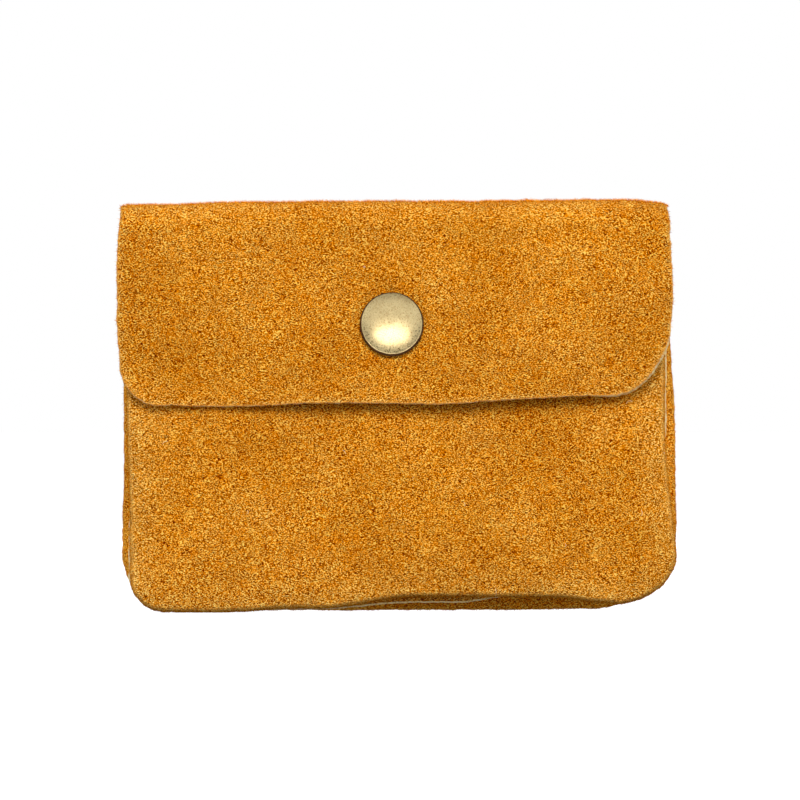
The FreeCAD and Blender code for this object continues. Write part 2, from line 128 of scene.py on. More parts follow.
# ---- nap fibres: angles in degrees, lengths in millimetres ----
LYING_ANGLES = (6, 28)
STANDING_ANGLE = 32
SWIRL_SIZE = 7.0
STRAY = 0.55  # spread of the fibres' directions, in radians
FIBRE_LENGTHS = (0.28, 0.60)
FIBRE_HALF_WIDTHS = (0.022, 0.052)
FIBRE_ROOT = 0.05  # how deep in the leather a fibre starts


# ---- noise and small numeric helpers ----

def lattice(ix, iy, seed):
    """A fixed pseudo-random value from 0 to 1 for each whole-numbered point."""
    h = (ix * 374761393 + iy * 668265263 + seed * 1274126177) & 0xFFFFFFFF
    h = ((h ^ (h >> 13)) * 1274126177) & 0xFFFFFFFF
    return ((h ^ (h >> 16)) & 0xFFFF) / 65535.0


def soft_noise(x, y, period, seed):
    """Smooth noise from -1 to 1 that changes over about one period."""
    gx, gy = x / period + 512.0, y / period + 512.0
    ix, iy = np.floor(gx).astype(np.int64), np.floor(gy).astype(np.int64)
    fx, fy = gx - ix, gy - iy
    ux, uy = fx * fx * (3 - 2 * fx), fy * fy * (3 - 2 * fy)
    low = lattice(ix, iy, seed) * (1 - ux) + lattice(ix + 1, iy, seed) * ux
    high = lattice(ix, iy + 1, seed) * (1 - ux) + lattice(ix + 1, iy + 1, seed) * ux
    return (low * (1 - uy) + high * uy) * 2 - 1


def ease(t):
    """Smoothstep of t held between 0 and 1."""
    t = np.clip(t, 0, 1)
    return t * t * (3 - 2 * t)


def lengthwise(line):
    """Distance along a line of points up to each point."""
    return np.concatenate([[0], np.cumsum(np.linalg.norm(np.diff(line, axis=0), axis=1))])


def unit(vectors):
    """The same directions with length 1."""
    return vectors / np.linalg.norm(vectors, axis=1)[:, None]


def left_of(ahead):
    """Unit directions to the left of the given 2-D directions."""
    ahead = unit(ahead)
    return np.column_stack([-ahead[:, 1], ahead[:, 0]])


def into(outline):
    """Unit directions into a closed anticlockwise outline, at each of its points."""
    return left_of(np.roll(outline, -1, axis=0) - np.roll(outline, 1, axis=0))


def evenly(line, spacing):
    """The same line with points one spacing apart."""
    along = lengthwise(line)
    count = max(int(round(along[-1] / spacing)), 2)
    at = np.linspace(0, along[-1], count + 1)
    return np.column_stack([np.interp(at, along, line[:, k]) for k in range(line.shape[1])])


def distance_to(points, line):
    """Distance from each 2-D point to a line of points."""
    ends, away = line[1:] - line[:-1], np.empty(len(points))
    long2 = np.maximum((ends ** 2).sum(1), 1e-12)
    for start in range(0, len(points), 4000):
        p = points[start:start + 4000]
        near = ((p[:, None] - line[None]) ** 2).sum(2).argmin(1)
        best = np.full(len(p), np.inf)
        for piece in (near - 1, near):
            k = np.clip(piece, 0, len(ends) - 1)
            rel = p - line[k]
            t = np.clip((rel * ends[k]).sum(1) / long2[k], 0, 1)
            best = np.minimum(best, np.linalg.norm(rel - ends[k] * t[:, None], axis=1))
        away[start:start + 4000] = best
    return away


def arc_points(cx, cy, radius, start, end, count=24):
    """Points on an arc between two angles in degrees."""
    a = np.radians(np.linspace(start, end, count))
    return np.column_stack([cx + radius * np.cos(a), cy + radius * np.sin(a)])


# ---- meshes ----

def fill(outline, spacing, insets):
    """Points and triangles inside a closed outline: rings near its edge, then an even grid.

    The first len(outline) points are the outline's own, in order.
    """
    closed = np.vstack([outline, outline[:1]])
    inward = into(outline)
    layers = [outline]
    for inset in insets:
        ring = outline + inward * inset
        layers.append(ring[distance_to(ring, closed) > 0.96 * inset])
    low, high = outline.min(0), outline.max(0)
    rows = np.arange(low[1], high[1], spacing * 0.866)
    across = np.arange(low[0], high[0], spacing)
    grid = np.vstack([np.column_stack([across + (k % 2) * spacing / 2, np.full(len(across), z)])
                      for k, z in enumerate(rows)])
    layers.append(grid[distance_to(grid, closed) > insets[-1] + 0.55 * spacing])
    points = np.vstack(layers)
    made = delaunay_2d_cdt([tuple(p) for p in points], [], [list(range(len(outline)))], 1, 1e-5)
    kept, triangles, origins = np.array([tuple(v) for v in made[0]]), np.array(made[2]), made[3]
    order = {first: new for new, olds in enumerate(origins) for first in olds}
    edge = np.array([order[k] for k in range(len(outline))])
    used = np.unique(triangles)
    rest = np.setdiff1d(used, edge)
    number = np.full(len(kept), -1)
    number[edge] = np.arange(len(edge))
    number[rest] = len(edge) + np.arange(len(rest))
    flat = np.vstack([kept[edge], kept[rest]])
    return flat, number[triangles]


def vertex_normals(points, triangles):
    """Outward unit normals at the points of a triangle mesh."""
    a, b, c = (points[triangles[:, k]] for k in range(3))
    face = np.cross(b - a, c - a)
    normals = np.zeros_like(points)
    for k in range(3):
        np.add.at(normals, triangles[:, k], face)
    return normals / np.maximum(np.linalg.norm(normals, axis=1), 1e-12)[:, None]


def build(name, points, faces, face_slots, materials, **attributes):
    """A smooth-shaded mesh object from points in millimetres."""
    mesh = bpy.data.meshes.new(name)
    mesh.from_pydata((np.asarray(points) * MM).tolist(), [], [list(map(int, f)) for f in faces])
    for material in materials:
        mesh.materials.append(material)
    mesh.polygons.foreach_set("material_index", np.asarray(face_slots, dtype=np.int32))
    mesh.polygons.foreach_set("use_smooth", np.ones(len(mesh.polygons), dtype=bool))
    for label, values in attributes.items():
        values = np.asarray(values, dtype=np.float32)
        kind, field = ("FLOAT", "value") if values.ndim == 1 else ("FLOAT_VECTOR", "vector")
        layer = mesh.attributes.new(label, kind, "POINT")
        layer.data.foreach_set(field, values.ravel())
    mesh.update()
    obj = bpy.data.objects.new(name, mesh)
    bpy.context.scene.collection.objects.link(obj)
    return obj


def sheet_solid(name, flat, triangles, rim_count, outer, thickness, wear, depth=None, bevel=None,
                away=False, normals=None, materials=None):
    """A closed leather sheet: the given outer face, an inner face behind it and a ragged cut edge.

    depth tells the finish how far the outer face is turned in, and bevel how far the cut edge
    slants out under it. With away, the outer face looks towards +Y. The thickness is measured
    along normals, which are the outer face's own if none are given. Returns the object, and what
    spread_nap needs.
    """
    depth = np.zeros(len(flat)) if depth is None else depth
    bevel = np.zeros(rim_count) if bevel is None else bevel
    if away:
        triangles = triangles[:, ::-1]
    if normals is None:
        normals = vertex_normals(outer, triangles)
    inner = outer - normals * np.broadcast_to(thickness, len(outer))[:, None]
    n = len(outer)
    loop = np.arange(rim_count)
    from_centre = outer[loop] - outer.mean(0)
    tangent = np.roll(outer[loop], -1, axis=0) - np.roll(outer[loop], 1, axis=0)
    outward = np.cross(tangent, normals[loop])
    outward = unit(outward * np.sign((outward * from_centre).sum(1))[:, None])
    inner[loop] += outward * bevel[:, None]
    along = np.cumsum(np.linalg.norm(tangent, axis=1)) / 2
    rings, ring_flat = [], []
    for k, share in enumerate((0.25, 0.5, 0.75)):
        rough = 0.07 * soft_noise(along, along * 0 + k * 9.0, 0.9, 31 + k)
        swell = 0.16 * math.sin(math.pi * share) + rough
        between = outer[loop] * (1 - share) + inner[loop] * share
        rings.append(between + outward * swell[:, None])
        ring_flat.append(np.column_stack([flat[loop], np.full(rim_count, share)]))
    points = np.vstack([outer, inner] + rings)
    slots = [np.zeros(len(triangles)), np.full(len(triangles), 2)]
    levels = [loop] + [2 * n + k * rim_count + loop for k in range(3)] + [loop + n]
    band = []
    for upper, lower in zip(levels, levels[1:]):
        quad = np.column_stack([upper, lower, np.roll(lower, -1), np.roll(upper, -1)])
        band.append(quad[:, ::-1] if away else quad)
    band = np.vstack(band)
    slots.append(np.ones(len(band)))
    hide = np.vstack([np.column_stack([flat, depth]), np.column_stack([flat, depth + 9])] + ring_flat)
    worn_and_lit = np.concatenate([wear, wear] + [np.zeros(rim_count)] * 3)
    faces = triangles.tolist() + (triangles[:, ::-1] + n).tolist() + band.tolist()
    obj = build(name, points, faces, np.concatenate(slots), materials or LEATHER_SET,
                hide=hide, wear=worn_and_lit)
    return obj, (flat, triangles, rim_count, outer, outward)


def swept(name, path, normals, section, materials, slots):
    """A closed solid: a closed section of (inward, y) points swept along an open (x, z) path.

    slots gives the material slot of each side of the section.
    """
    m, n = len(path), len(section)
    points = np.zeros((m, n, 3))
    points[:, :, 0] = path[:, None, 0] + normals[:, None, 0] * section[None, :, 0]
    points[:, :, 1] = section[None, :, 1]
    points[:, :, 2] = path[:, None, 1] + normals[:, None, 1] * section[None, :, 0]
    index = np.arange(m * n).reshape(m, n)
    faces, face_slots = [], []
    for k in range(n):
        j = (k + 1) % n
        strip = np.column_stack([index[:-1, k], index[1:, k], index[1:, j], index[:-1, j]])
        faces += strip.tolist()
        face_slots += [slots[k]] * len(strip)
    faces += [index[0][::-1].tolist(), index[-1].tolist()]
    face_slots += [face_slots[0]] * 2
    along = lengthwise(path)
    around = lengthwise(np.vstack([section, section[:1]]))[:-1]
    hide = np.dstack(np.meshgrid(along, around, indexing="ij") + [np.full((m, n), 4.0)])
    wear = np.full(m * n, 3.0)
    return build(name, points.reshape(-1, 3), faces, face_slots, materials,
                 hide=hide.reshape(-1, 3), wear=wear)


def tube(name, line, radius, material, sides=8):
    """A closed round tube along a line of 3-D points."""
    tangent = unit(np.gradient(line, axis=0))
    first = unit(np.cross(tangent, [0.0, 1.0, 0.01]))
    second = np.cross(tangent, first)
    turn = np.linspace(0, 2 * math.pi, sides, endpoint=False)
    points = (line[:, None] + radius * (np.cos(turn)[None, :, None] * first[:, None]
                                        + np.sin(turn)[None, :, None] * second[:, None]))
    index = np.arange(len(line) * sides).reshape(len(line), sides)
    faces = []
    for k in range(sides):
        j = (k + 1) % sides
        faces += np.column_stack([index[:-1, k], index[:-1, j], index[1:, j], index[1:, k]]).tolist()
    faces += [index[0][::-1].tolist(), index[-1].tolist()]
    return build(name, points.reshape(-1, 3), faces, np.zeros(len(faces)), [material])


def nap(name, seed, outer, triangles, flat, count, keep, stand, edge):
    """Suede fibres: thin closed spikes that lie along swirls in the nap.

    keep and stand say, from 0 to 1 at each point, how dense and how upright the fibres are.
    edge is (points, outward directions, count) for the fibres that stand out along a cut edge.
    """
    rng = np.random.default_rng(seed)
    a, b, c = (outer[triangles[:, k]] for k in range(3))
    area = np.linalg.norm(np.cross(b - a, c - a), axis=1) * keep[triangles].mean(1)
    chosen = rng.choice(len(triangles), size=count, p=area / area.sum())
    u, v = rng.random(count), rng.random(count)
    u, v = np.where(u + v > 1, 1 - u, u), np.where(u + v > 1, 1 - v, v)
    root = a[chosen] + (b - a)[chosen] * u[:, None] + (c - a)[chosen] * v[:, None]
    place = flat[triangles[chosen, 0]]
    standing = stand[triangles[chosen, 0]]
    up = unit(np.cross((b - a)[chosen], (c - a)[chosen]))
    side = unit(np.cross(np.array([0.3, 0.2, 1.0]), up))
    fore = np.cross(up, side)
    swirl = -1.1 + 1.5 * soft_noise(place[:, 0], place[:, 1], SWIRL_SIZE, seed + 1)
    turn = swirl + rng.normal(0, STRAY, count)
    rise = np.radians(rng.uniform(*LYING_ANGLES, count) + STANDING_ANGLE * standing)
    lying = side * np.cos(turn)[:, None] + fore * np.sin(turn)[:, None]
    heading = lying * np.cos(rise)[:, None] + up * np.sin(rise)[:, None]
    base, outward, edge_count = edge
    pick = rng.integers(0, len(base), edge_count)
    out = unit(outward[pick] + rng.normal(0, STRAY, (edge_count, 3)))
    root = np.vstack([root, base[pick] - outward[pick] * FIBRE_ROOT])
    heading = np.vstack([heading, out])
    over_face = rng.uniform(*FIBRE_LENGTHS, count) * (1 + 0.3 * standing)
    long = np.concatenate([over_face, rng.gamma(2.2, 0.13, edge_count)])
    total = len(root)
    across = unit(np.cross(heading, rng.normal(0, 1, (total, 3))))
    third = np.cross(heading, across)
    half = rng.uniform(*FIBRE_HALF_WIDTHS, total)[:, None]
    start = root - heading * FIBRE_ROOT
    corners = [start + (across * math.cos(t) + third * math.sin(t)) * half
               for t in (0, 2 * math.pi / 3, 4 * math.pi / 3)]
    points = np.stack(corners + [root + heading * long[:, None]], axis=1).reshape(-1, 3)
    points[:, 2] = np.maximum(points[:, 2], 0.01)
    first = np.arange(total)[:, None] * 4
    pattern = np.array([[0, 2, 1], [0, 1, 3], [1, 2, 3], [2, 0, 3]])
    faces = (first[:, None] + pattern[None]).reshape(-1, 3)
    tone = rng.choice(len(FIBRES), size=total, p=NAP_TONES)
    return build(name, points, faces.tolist(), np.repeat(tone, 4), FIBRES)


# ---- materials ----

class Nodes:
    """A new material's node tree, with short ways to add nodes: each returns an output."""

    def __init__(self, name, **settings):
        self.material = bpy.data.materials.new(name)
        self.material.use_nodes = True
        self.tree = self.material.node_tree
        self.shader = self.tree.nodes["Principled BSDF"]
        for socket, value in settings.items():
            self.feed(self.shader.inputs[socket.replace("_", " ")], value)

    def feed(self, socket, value):
        """Joins a socket to another node's output, or sets its value."""
        if isinstance(value, bpy.types.NodeSocket):
            self.tree.links.new(value, socket)
        elif socket.type == "RGBA":
            socket.default_value = (*value, 1)
        else:
            socket.default_value = value

    def finish(self, socket, value):
        self.feed(self.shader.inputs[socket], value)

    def add(self, kind, inputs=None, output=0, **settings):
        node = self.tree.nodes.new("ShaderNode" + kind)
        for key, value in settings.items():
            setattr(node, key, value)
        for socket, value in (inputs or {}).items():
            self.feed(node.inputs[socket], value)
        return node.outputs[output]

    def attribute(self, label, output="Vector"):
        """A value that build() stored on the mesh."""
        return self.add("Attribute", output=output, attribute_name=label)

    def mapped(self, vector, turn, scale):
        turned = (0, 0, math.radians(turn))
        return self.add("Mapping", {"Vector": vector, "Rotation": turned, "Scale": scale})

    def object_mm(self):
        """Object coordinates in millimetres."""
        return self.mapped(self.add("TexCoord", output="Object"), 0, (1000, 1000, 1000))

    def noise(self, vector, scale, detail=2.0, roughness=0.55, output="Fac"):
        return self.add("TexNoise", {"Vector": vector, "Scale": scale, "Detail": detail,
                                     "Roughness": roughness}, output)

    def stripes(self, vector, scale, distortion=0.0):
        """Slanting ribs."""
        return self.add("TexWave", {"Vector": vector, "Scale": scale, "Distortion": distortion},
                        "Fac", wave_type="BANDS", bands_direction="DIAGONAL")

    def math(self, operation, first, second):
        return self.add("Math", {0: first, 1: second}, operation=operation)

    def span(self, value, low, high, to_low=0.0, to_high=1.0):
        """Maps low..high to to_low..to_high, held at both ends."""
        return self.add("MapRange", {"Value": value, "From Min": low, "From Max": high,
                                     "To Min": to_low, "To Max": to_high})

    def ramp(self, value, stops):
        colour = self.add("ValToRGB", {0: value})
        points = colour.node.color_ramp.elements
        while len(points) < len(stops):
            points.new(0.5)
        for point, (at, shade) in zip(points, stops):
            point.position = at
            point.color = (*shade, 1)
        return colour

    def grey(self, colour):
        return self.add("RGBToBW", {0: colour})

    def mix(self, factor, first, second, blend="MIX"):
        return self.add("Mix", {0: factor, 6: first, 7: second}, 2, data_type="RGBA",
                        blend_type=blend)

    def shift(self, vector, by, amount):
        """Moves a vector by a colour noise, for swirls."""
        centred = self.add("VectorMath", {0: by, 1: (0.5, 0.5, 0.5)}, operation="SUBTRACT")
        grown = self.add("VectorMath", {0: centred, "Scale": amount}, operation="SCALE")
        return self.add("VectorMath", {0: vector, 1: grown}, operation="ADD")

    def bump(self, height, strength, depth):
        """Bumps of the given depth in metres."""
        self.finish("Normal", self.add("Bump", {"Height": height, "Strength": strength,
                                                "Distance": depth}))


def from_pits(*colours):
    """Colours from the pits of the nap to its tips, with their places on a ramp."""
    return list(zip((0.22, 0.37, 0.50, 0.62, 0.80), colours))


SUEDE_TONES = from_pits((0.12, 0.010, 0.0), (0.42, 0.073, 0.0), (0.75, 0.215, 0.0),
                        (0.98, 0.350, 0.001), (1.0, 0.70, 0.13))
# Paler tones: the flesh side's colour, and on the outer face both worn places and painted light.
PALER_TONES = from_pits((0.16, 0.032, 0.001), (0.47, 0.135, 0.003), (0.77, 0.280, 0.008),
                       (0.98, 0.450, 0.036), (1.0, 0.79, 0.27))
# The dividers' tones: the suede's tones painted brighter, painted light that makes up for the shade
# they sit in behind the front bag.
LINING_PAINTED_LIGHT_TONES = from_pits((0.15, 0.014, 0.0), (0.56, 0.092, 0.0), (0.92, 0.245, 0.001),
                         (1.0, 0.390, 0.002), (1.0, 0.70, 0.12))


def suede(name, tones, worn_and_lit, wear_width):
    """Napped leather: short strokes in swirls, dark pits, broad blotches and a paler edge, partly
    wear and partly painted light that makes up for the shade on rolled edges.
    """
    n = Nodes(name, Roughness=0.92, Specular_IOR_Level=0.0)
    at = n.attribute("hide")
    # Short strokes that lean one way or the other from patch to patch.
    swirled = n.shift(at, n.noise(at, 0.16, 2.0, output="Color"), 2.5)
    stroke = (0.80, 1.40, 1)
    left = n.noise(n.mapped(swirled, 42, stroke), 3.7, 1.0, 0.6)
    right = n.noise(n.mapped(swirled, -48, stroke), 3.7, 1.0, 0.6)
    which = n.span(n.noise(at, 0.33, 1.0), 0.44, 0.56)
    strokes = n.mix(which, left, right)
    fine = n.noise(at, 5.6, 1.0)
    grain = n.math("ADD", n.math("MULTIPLY", strokes, 0.66), n.math("MULTIPLY", fine, 0.34))
    grain = n.span(grain, 0.35, 0.65)
    clump = n.math("MULTIPLY", n.math("SUBTRACT", n.noise(at, 0.30, 3.0), 0.5), 0.14)
    toned = n.math("ADD", grain, clump)
    # Fresh and paler tones, and broad blotches. The paler tones near edges are partly wear and partly
    # painted light, which makes up for the shade on rolled edges and low faces.
    fresh = n.ramp(toned, tones)
    faded_and_lit = n.ramp(toned, worn_and_lit)
    blotch = n.noise(at, 0.042, 3.0, 0.5)
    wear = n.attribute("wear", "Fac")
    near_edge = n.span(wear, 0.0, wear_width, 0.85, 0.0)
    patchy = n.span(n.noise(at, 0.09, 2.0), 0.45, 0.75, 0.0, 0.35)
    colour = n.mix(n.math("MAXIMUM", near_edge, patchy), fresh, faded_and_lit)
    shade = n.ramp(blotch, [(0.36, (0.90, 0.84, 0.70)), (0.62, (1.06, 1.05, 1.04))])
    colour = n.mix(1.0, colour, shade, "MULTIPLY")
    # Specks of lint, and a pale rim along an edge: partly the edge's pale fringe, partly a painted
    # highlight that makes up for the shade on a turned roll.
    away = n.add("TexVoronoi", {"Vector": at, "Scale": 0.22}, "Distance", feature="F1")
    some = n.math("GREATER_THAN", n.grey(away.node.outputs["Color"]), 0.74)
    lint = n.math("MULTIPLY", n.span(away, 0.035, 0.06, 0.75, 0.0), some)
    colour = n.mix(lint, colour, (0.62, 0.45, 0.34))
    colour = n.mix(n.span(wear, 0.1, 1.1, 0.45, 0.0), colour, (1.0, 0.56, 0.13))
    n.finish("Base Color", colour)
    n.bump(toned, 0.7, 0.00025)
    return n.material


def cut_edge():
    """The raw edge of the hide: pale core fibres between two dyed faces. The core is painted paler
    still, painted light that makes up for the shade the edges sit in.
    """
    n = Nodes("cut_edge", Roughness=0.95, Specular_IOR_Level=0.1)
    at = n.attribute("hide")
    fibres = n.noise(at, 2.6, 3.0, 0.65)
    dyed, half_dyed, core_painted_lighter = (0.42, 0.20, 0.03), (0.90, 0.60, 0.20), (1.0, 0.82, 0.45)
    n.finish("Base Color", n.ramp(fibres, [(0.28, dyed), (0.42, half_dyed), (0.56, core_painted_lighter)]))
    n.bump(fibres, 0.6, 0.0002)
    return n.material


def fibre(name, colour):
    """One tone of loose nap fibre."""
    return Nodes(name, Base_Color=colour, Roughness=0.9, Specular_IOR_Level=0.0).material


def antique_brass(name, light, dark, roughness, speckle=2.2, metallic=1.0):
    """Brushed-off antique brass: pale high spots over a brown film, with a fine matt speckle."""
    n = Nodes(name, Metallic=metallic, Specular_IOR_Level=0.5 * metallic)
    in_mm = n.object_mm()
    film = n.noise(in_mm, 0.35, 4.0, 0.6)
    grit = n.noise(in_mm, speckle, 2.0, 0.6)
    mixed = n.math("ADD", n.math("MULTIPLY", film, 0.4), n.math("MULTIPLY", grit, 0.6))
    n.finish("Base Color", n.ramp(mixed, [(0.35, dark), (0.57, light)]))
    n.finish("Roughness", n.span(grit, 0.3, 0.7, roughness - 0.08, roughness + 0.08))
    n.bump(grit, 0.25, 0.00002)
    return n.material


def twill(name, light, dark):
    """Zip tape: fine slanting ribs."""
    n = Nodes(name, Roughness=0.85, Sheen_Weight=0.08)
    in_mm = n.object_mm()
    ribs = n.stripes(in_mm, 0.9, 0.6)
    dust = n.noise(in_mm, 1.2, 3.0)
    both = n.math("ADD", n.math("MULTIPLY", ribs, 0.6), n.math("MULTIPLY", dust, 0.4))
    n.finish("Base Color", n.ramp(both, [(0.25, dark), (0.7, light)]))
    n.bump(ribs, 0.5, 0.00012)
    return n.material


def thread_finish():
    """Waxed sewing thread with its twist."""
    n = Nodes("waxed_thread", Roughness=0.55, Sheen_Weight=0.2)
    strands = n.stripes(n.object_mm(), 1.6)
    n.finish("Base Color", n.ramp(strands, [(0.2, (0.30, 0.13, 0.02)), (0.8, (0.62, 0.32, 0.07))]))
    n.bump(strands, 0.5, 0.0001)
    return n.material


NAP_TONES = (0.40, 0.34, 0.13, 0.13)  # each fibre tone's share
SUEDE = suede("ochre_suede", SUEDE_TONES, PALER_TONES, 7.0)
FLESH = suede("suede_inside", PALER_TONES, PALER_TONES, 3.0)
LINING_PAINTED_LIGHT = suede("lining_suede_painted_light", LINING_PAINTED_LIGHT_TONES, PALER_TONES, 3.0)
CUT = cut_edge()
FIBRES = [
    fibre("fibre_gold", (0.88, 0.30, 0.001)),
    fibre("fibre_ochre", (0.62, 0.165, 0.000)),
    fibre("fibre_straw", (1.00, 0.60, 0.085)),
    fibre("fibre_brown", (0.20, 0.028, 0.000)),
]
LINT = fibre("pale_lint", (0.95, 0.72, 0.36))
LEATHER_SET = [SUEDE, CUT, FLESH]
LINING_PAINTED_LIGHT_SET = [LINING_PAINTED_LIGHT, CUT, FLESH]
CAP_BRASS = antique_brass("cap_brass", (0.82, 0.65, 0.33), (0.58, 0.42, 0.19), 0.31, 3.0)
# Near-black lip of the cap: partly patina, partly painted shade of the gap under the cap's rim.
PATINA_AND_PAINTED_SHADE = antique_brass("brass_patina_and_painted_shade", (0.085, 0.036, 0.010), (0.035, 0.014, 0.004), 0.6,
                       metallic=0.3)
BRASS = antique_brass("zip_brass", (0.92, 0.70, 0.34), (0.60, 0.42, 0.17), 0.30)
TAPE = twill("zip_tape_twill", (0.66, 0.34, 0.09), (0.30, 0.135, 0.025))
THREAD = thread_finish()


# ---- the hide: path over the top and outlines ----

def over_the_top(s, face, towards):
    """Places and outward normals in (y, z) along the hide's outer face.

    s is the height where the hide hangs at y = face, and goes on as the length round the fold and
    along the top, which runs in the +Y direction when towards is 1.
    """
    bend = np.clip((s - HANG_TOP) / BEND_LENGTH, 0, 1) * math.pi / 2
    lying = np.maximum(s - HANG_TOP - BEND_LENGTH, 0)
    hanging = np.minimum(s, HANG_TOP)
    y = face + towards * (FOLD_RADIUS * (1 - np.cos(bend)) + lying)
    z = hanging + FOLD_RADIUS * np.sin(bend)
    crown = 0.45 * (1 - ((y - MIDDLE) / (HALF_TOP + FOLD_RADIUS)) ** 2) * (s > HANG_TOP)
    return y, z + crown, -towards * np.cos(bend), np.sin(bend)


def top_slant(x, s):
    """How far the top is raised: a little more from left to right, and less at both ends."""
    ends = 0.3 * ease((-x - 30) / 16) + 0.75 * ease((x - 44) / 9)
    to_side = np.minimum(TOP_RIGHT - x, x - TOP_LEFT)
    over = np.clip(1 - to_side / 1.8, 0, 0.9)
    return (0.38 * x / 54 - ends - 0.9 * (1 - np.sqrt(1 - over ** 2))) * ease((s - 62) / 18)


def hide_relief(x, s, seed):
    """Soft unevenness of the hide, outwards, in millimetres."""
    return (0.20 * soft_noise(x, s, 24, seed) + 0.09 * soft_noise(x, s, 7, seed + 1)
            + 0.035 * soft_noise(x, s, 2.3, seed + 2) + 0.05 * soft_noise(x, s, 0.95, seed + 3))


def fold_wear(s):
    """A wear distance that falls towards the fold, where the hide is painted paler: partly rub,
    partly a painted highlight on the fold.
    """
    return 3.6 + np.abs(s - (HANG_TOP + BEND_LENGTH * 0.6)) * 0.9


def ridge_relief(x, s, relief):
    """Lets a relief run into one that both halves of the hide share where they meet."""
    own = ease((HIDE_END - s) / 4)
    along = x * 0 + 5.0
    shared = (0.16 * soft_noise(x, along, 11, 91) + 0.10 * soft_noise(x, along, 2.6, 92)
              + (0.18 + 0.14 * np.exp(-((x - 36) / 7) ** 2)) * soft_noise(x, along, 0.95, 93))
    return relief * own + shared * (1 - ease((HIDE_END - s) / 7))


def ragged(outline, size, seed):
    """Moves an outline in and out a little by place, as a hand-cut edge runs.

    It dies out where the two halves of the hide meet on the top.
    """
    x, z = outline.T
    by = soft_noise(x, z, 9.0, seed) + 0.6 * soft_noise(x, z, 2.2, seed + 1)
    by += 0.9 * soft_noise(x, z, 0.8, seed + 2)
    by *= ease((HIDE_END - 1.5 - z) / 4)
    return outline + into(outline) * (by * size)[:, None]


def drawn_to_top(outline, start, end):
    """Brings both sides of a hide outline to the width of the top, between two heights."""
    moved = outline.copy()
    x = outline[:, 0]
    share = ease((outline[:, 1] - start) / (end - start))
    reach = np.where(x > 0, TOP_RIGHT - x.max(), TOP_LEFT - x.min()) * share
    reach += np.where(x > 0, -0.45, 0.15) * ease((outline[:, 1] - HANG_TOP - 2.0) / 4.5)
    moved[:, 0] += reach * np.clip(np.abs(x) / 50, 0, 1) ** 4
    return moved


def rounded(sides, corners, low, top, foot_at, count=60):
    """An outline with a small and a large round corner, anticlockwise from the top left.

    It comes down to height low on the left, then its foot follows foot_at(x).
    """
    (left, right), (small, large) = sides, corners
    left_side = np.column_stack([np.full(count, left), np.linspace(top, low + small, count)])
    left_arc = arc_points(left + small, low + small, small, 180, 270)
    xs = np.linspace(left + small, right - large, 60)
    foot = np.column_stack([xs, foot_at(xs)])
    end = foot_at(right - large) + large
    right_arc = arc_points(right - large, end, large, -90, 0)
    right_side = np.column_stack([np.full(count, right), np.linspace(end, top, count)])
    mouth = np.column_stack([np.linspace(right, left, 60), np.full(60, top)])
    return np.vstack([left_side, left_arc[1:], foot[1:], right_arc[1:], right_side[1:], mouth[1:-1]])


def flap_outline():
    """The flap's outline, with its half of the top."""
    sides, low = (FLAP_LOW[0] + 0.25, FLAP_HIGH[0] - 0.2), FLAP_LOW[2] + 0.1

    def foot_at(x):
        return (low + 0.5 * ease((x + 40) / 45) + 1.8 * ease((x - 8) / 42)
                - 0.22 * np.sin(x / 6.2 + 0.6))

    line = rounded(sides, FLAP_CORNERS, low, HIDE_END, foot_at, 80)
    # Both sides draw in a little towards the bottom.
    line[:, 0] += np.where(line[:, 0] < 0, 0.7, 0.0) * ease((58 - line[:, 1]) / 14)
    line[:, 0] -= 0.9 * ease((line[:, 0] - 44) / 8) * ease((61 - line[:, 1]) / 13)
    return drawn_to_top(line, 65, 80)


def bag_outline(sides, corners, top):
    """A bag's outline, straight along the ground."""
    return rounded(sides, corners, 0.0, top, lambda x: 0 * x)


def front_arch(x):
    """How far the front bag's lower edge is drawn up, highest right of the middle."""
    sides = 0.75 * ease((x + 36) / 16) + 0.55 * ease((x - 34) / 8)
    return sides + 2.35 * ease((x + 16) / 20) * ease((46 - x) / 16)


def back_arch(x):
    """How far the back bag's lower edge stands off the ground."""
    return 0.35 * ease((x + 46) / 30) + 0.25 * ease((x - 20) / 20)


def lifted(outline, arch, reach=14.0):
    """An outline with its lower edge drawn up by arch(x), fading out upwards."""
    moved = outline.copy()
    moved[:, 1] += arch(outline[:, 0]) * (1 - ease(outline[:, 1] / reach))
    return moved


def bellied(outline, low_out, high_out=(0.0, 0.0)):
    """Sides, left and right, that lean out by low_out at the bottom and by high_out at the mouth."""
    moved = outline.copy()
    x, z = outline.T
    low = np.where(x > 0, low_out[1], low_out[0]) * (1 - ease((z - 6) / 30))
    high = np.where(x > 0, high_out[1], high_out[0]) * ease((z - 22) / 16)
    moved[:, 0] += np.sign(x) * (low + high) * np.clip(np.abs(x) / 50, 0, 1) ** 4
    return moved


def closed_even(outline, spacing):
    """Points one spacing apart round a closed outline."""
    return evenly(np.vstack([outline, outline[:1]]), spacing)[:-1]


def hand_cut(shape, spacing, size, seed):
    """An outline as it is cut: evenly spaced points, a little ragged and clear of the ground."""
    outline = ragged(closed_even(shape, spacing), size, seed)
    outline[:, 1] = np.maximum(outline[:, 1], LOWEST)
    return outline


def below(outline, level):
    """The stretch of a closed outline that lies below a level, as an open line."""
    low = outline[:, 1] < level
    start = int(np.argmax(low & ~np.roll(low, 1)))
    turned = np.roll(outline, -start, axis=0)
    return turned[np.roll(low, -start)]


def front_shape(mouth):
    """Outline of the front bag's leathers up to a mouth height."""
    shape = lifted(bag_outline(FRONT_SIDES, FRONT_CORNERS, mouth), front_arch)
    return bellied(shape, (0.0, 2.2), (0.65, -0.3))


